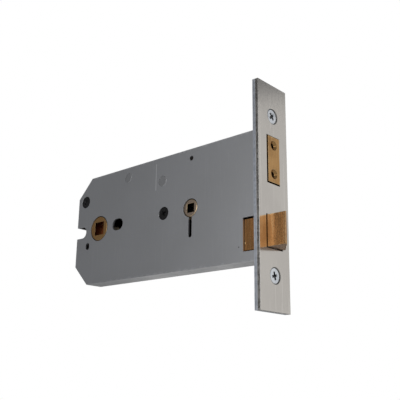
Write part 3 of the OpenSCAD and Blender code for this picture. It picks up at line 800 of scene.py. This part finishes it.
def screwPattern(head, shank, length, recess):
    r, s, shape = head / 2, shank / 2, screwShape
    cone = r - s
    outline = [
        (0, 0), (r - shape["flat"], 0), (r - shape["rim"], -shape["drop"]), (r, -shape["rim"]), (r, -shape["edge"]),
        (s + shape["neck"], -shape["neckTop"] - cone), (s, -shape["neckLow"] - cone), (s, shape["tip"] - length),
        (s - shape["tip"], -length), (0, -length),
    ]
    screw = newObject("screwPattern", latheMesh("screwPattern", outline))
    cutter = crossCutter(*recess)
    cut = screw.modifiers.new("recess", "BOOLEAN")
    cut.operation = "DIFFERENCE"
    cut.solver = "EXACT"
    cut.object = cutter
    applyModifiers(screw)
    bpy.data.objects.remove(cutter)
    return screw


# how deep the painted shade in a screw recess starts and ends, and its colour
recessShade = {"start": 0.1 * mm, "full": 0.5 * mm, "tone": (0.03, 0.03, 0.033)}


def paintRecessShade(axis, top):  # painted shade in the driver's recess, deeper than the head's face
    def draw(tree, place, colour):
        depth = gap(tree, separate(tree, place)[axis], top)
        paintedShade = ramp(tree, depth, recessShade["start"], recessShade["full"])
        return mixColour(tree, paintedShade, colour, colourOf(recessShade["tone"]))

    return draw


def placeCopies(name, node, body, look, pattern, axis, points, spins, bevel, marks=None):
    roundEdges(pattern, bevel)
    pattern.data.transform(axes[axis]["lay"] @ Matrix.Scale(mm, 4))
    mesh = bpy.data.meshes.new(name)
    mesh.from_pydata(points, [], [])
    mesh.attributes.new("spin", "FLOAT", "POINT").data.foreach_set("value", [math.radians(s) for s in spins])
    low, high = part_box(node)
    finish = makeMetal(name + "Finish", look, low, high, marks)
    piece = newObject(name, mesh)
    copies = piece.modifiers.new("copies", "NODES")
    copies.node_group = copiesAtPoints
    setInput(copies, copiesAtPoints, "Pattern", pattern)
    setInput(copies, copiesAtPoints, "Axis", axes[axis]["spin"])
    setInput(copies, copiesAtPoints, "Finish", finish)
    applyModifiers(piece)
    bpy.data.objects.remove(pattern)
    placePiece(piece, node, body, finish)
    print("made", name)


def sizeOf(node):
    low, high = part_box(node)
    return low, high, (high - low) / mm


def placesOf(node, axis, diameter, spread):  # the round pieces in a node: width, length, face and middles
    low, high, size = sizeOf(node)
    face, length, wide = (high.x, size.x, size.y) if axis == "+X" else (low.y, size.y, size.x)
    diameter = diameter or wide
    r = diameter * mm / 2
    ends = {
        "single": [((low.x + high.x) / 2, (low.z + high.z) / 2)],
        "X": [(low.x + r, low.z + r), (high.x - r, low.z + r)],
        "Z": [(low.x + r, high.z - r), (low.x + r, low.z + r)],
        "diagonal": [(low.x + r, high.z - r), (high.x - r, low.z + r)],
    }
    middles = [(face, 0, z) if axis == "+X" else (x, face, z) for x, z in ends[spread]]
    return diameter, length, face, middles


def makeScrews(name, node, body, slot, look, axis, spread, spins, shank, recess, diameter=None):
    diameter, length, face, middles = placesOf(node, axis, diameter, spread)
    pattern = screwPattern(diameter, shank, length, recess)
    paintedShade = paintRecessShade(axes[axis]["index"], face)
    placeCopies(name, node, body, look, pattern, axis, middles, spins, screwShape["bevel"], paintedShade)


forendScrews = {
    "node": "forend_screws", "body": "case", "slot": "bright_zinc", "look": brightZincLook,
    "axis": "+X", "spread": "Z", "spins": (38, 14), "shank": 4.0, "recess": (4.8, 1.35, 2.0),
}
makeScrews("forendScrews", **forendScrews)

coverScrews = {
    "node": "cover_screws", "body": "case", "slot": "black_zinc", "look": blackZincLook, "diameter": 7.7,
    "axis": "-Y", "spread": "diagonal", "spins": (20, 65), "shank": 4.0, "recess": (4.2, 1.1, 1.7),
}
makeScrews("coverScrews", **coverScrews)

pinEnds = {"chamfer": 0.18, "bevel": 0.05}


def makePins(name, node, body, slot, look, axis="-Y", spread="single", diameter=None, tenon=None, sheet=0.0):
    diameter, length, face, middles = placesOf(node, axis, diameter, spread)
    r, chamfer = diameter / 2, pinEnds["chamfer"]
    outline = [(0, 0), (r - chamfer, 0), (r, -chamfer)]
    if tenon:  # a shouldered post: its thick end shows in the cover, its tenon in the tray
        outline += [(r, sheet - length), (tenon / 2, sheet - length)]
        r = tenon / 2
    outline += [(r, chamfer - length), (r - chamfer, -length), (0, -length)]
    pattern = newObject(name + "Pattern", latheMesh(name, outline))
    placeCopies(name, node, body, look, pattern, axis, middles, [0] * len(middles), pinEnds["bevel"])


plainPost = {"body": "case", "slot": "plain_steel", "look": postLook, "tenon": 4.4, "sheet": 1.2}

boltGuidePost = {**plainPost, "node": "bolt_guide_post"}
makePins("boltGuidePost", **boltGuidePost)

upperTailPost = {**plainPost, "node": "upper_tail_post"}
makePins("upperTailPost", **upperTailPost)

lowerTailPost = {**plainPost, "node": "lower_tail_post"}
makePins("lowerTailPost", **lowerTailPost)

latchRivets = {
    "node": "latch_rivets", "body": "latch", "slot": "rivet_brass", "look": brassLook, "spread": "X", "diameter": 2.5,
}
makePins("latchRivets", **latchRivets)

boltRivets = {
    "node": "bolt_rivets", "body": "deadbolt", "slot": "rivet_brass", "look": brassLook, "spread": "Z", "diameter": 3.0,
}
makePins("boltRivets", **boltRivets)

antiSawRollers = {
    "node": "anti_saw_rollers", "body": "deadbolt", "slot": "dark_steel", "look": darkSteelLook,
    "axis": "+X", "spread": "Z", "diameter": 2.8,
}
makePins("antiSawRollers", **antiSawRollers)

detentPin = {"node": "detent_pin", "body": "case", "slot": "dark_steel", "look": darkSteelLook}
makePins("detentPin", **detentPin)

coverPosts = {"node": "cover_posts", "body": "case", "slot": "plain_steel", "look": plainSteelLook, "bevel": 0.1}
makePlate("coverPosts", **coverPosts)

# The latch spring is wound by its own tree

latchSpring = {"turns": 8.0, "wire": 0.8, "wireSides": 10, "stepsPerTurn": 28}


def springTree(setup):
    inputs = {
        "Turns": "NodeSocketFloat", "Coil Radius": "NodeSocketFloat", "Wire Radius": "NodeSocketFloat",
        "Length": "NodeSocketFloat", "Start": "NodeSocketVector", "Finish": "NodeSocketMaterial",
    }
    tree, given, made = newGeometryTree("woundSpring", inputs)
    spiral = addNode(tree, "GeometryNodeCurveSpiral")
    spiral.inputs["Resolution"].default_value = setup["stepsPerTurn"]
    feed(tree, spiral.inputs["Rotations"], given["Turns"])
    feed(tree, spiral.inputs["Start Radius"], given["Coil Radius"])
    feed(tree, spiral.inputs["End Radius"], given["Coil Radius"])
    spiral.inputs["Height"].default_value = 0.0
    along = addNode(tree, "GeometryNodeSplineParameter").outputs["Factor"]
    share = calc(tree, "DIVIDE", 1.0, given["Turns"])
    rest = calc(tree, "SUBTRACT", 1.0, share)
    pitch = calc(tree, "MULTIPLY", given["Wire Radius"], 2.0)
    closed = calc(tree, "MULTIPLY", pitch, 3.0)  # a closed turn at each end, and the wire itself
    stretched = calc(tree, "SUBTRACT", given["Length"], closed)
    first = ramp(tree, along, 0.0, share, 0.0, pitch)
    body = ramp(tree, along, share, rest, 0.0, stretched)
    last = ramp(tree, along, rest, 1.0, 0.0, pitch)
    for socket in (first, body, last):
        socket.node.interpolation_type = "LINEAR"
    height = calc(tree, "ADD", calc(tree, "ADD", first, body), calc(tree, "ADD", last, given["Wire Radius"]))
    rise = addNode(tree, "ShaderNodeCombineXYZ")
    feed(tree, rise.inputs["Z"], height)
    lift = addNode(tree, "GeometryNodeSetPosition")
    feed(tree, lift.inputs["Geometry"], spiral.outputs["Curve"])
    feed(tree, lift.inputs["Offset"], rise.outputs[0])
    wire = addNode(tree, "GeometryNodeCurvePrimitiveCircle")
    wire.inputs["Resolution"].default_value = setup["wireSides"]
    feed(tree, wire.inputs["Radius"], given["Wire Radius"])
    swept = addNode(tree, "GeometryNodeCurveToMesh")
    swept.inputs["Fill Caps"].default_value = True
    feed(tree, swept.inputs["Curve"], lift.outputs["Geometry"])
    feed(tree, swept.inputs["Profile Curve"], wire.outputs["Curve"])
    smooth = addNode(tree, "GeometryNodeSetShadeSmooth")
    feed(tree, smooth.inputs["Geometry"], swept.outputs["Mesh"])
    moved = addNode(tree, "GeometryNodeTransform")
    feed(tree, moved.inputs["Geometry"], smooth.outputs["Geometry"])
    moved.inputs["Rotation"].default_value = (0, math.radians(90), 0)
    feed(tree, moved.inputs["Translation"], given["Start"])
    real = addNode(tree, "GeometryNodeRealizeInstances")
    feed(tree, real.inputs["Geometry"], moved.outputs["Geometry"])
    finish = addNode(tree, "GeometryNodeSetMaterial")
    feed(tree, finish.inputs["Geometry"], real.outputs["Geometry"])
    feed(tree, finish.inputs["Material"], given["Finish"])
    feed(tree, made["Geometry"], finish.outputs["Geometry"])
    return tree


def makeLatchSpring(setup):
    low, high, size = sizeOf("latch_spring")
    middle = (low + high) / 2
    wire = setup["wire"] * mm / 2
    tree = springTree(setup)
    finish = makeMetal("latchSpringFinish", springSteelLook, low, high)
    piece = newObject("latchSpring", bpy.data.meshes.new("latchSpring"))
    wind = piece.modifiers.new("wind", "NODES")
    wind.node_group = tree
    setInput(wind, tree, "Turns", setup["turns"])
    setInput(wind, tree, "Coil Radius", size.y * mm / 2 - wire)
    setInput(wind, tree, "Wire Radius", wire)
    setInput(wind, tree, "Length", size.x * mm)
    setInput(wind, tree, "Start", (low.x, middle.y, middle.z))
    setInput(wind, tree, "Finish", finish)
    applyModifiers(piece)
    placePiece(piece, "latch_spring", "case", finish)
    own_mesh(piece)
    print("made latchSpring")


makeLatchSpring(latchSpring)
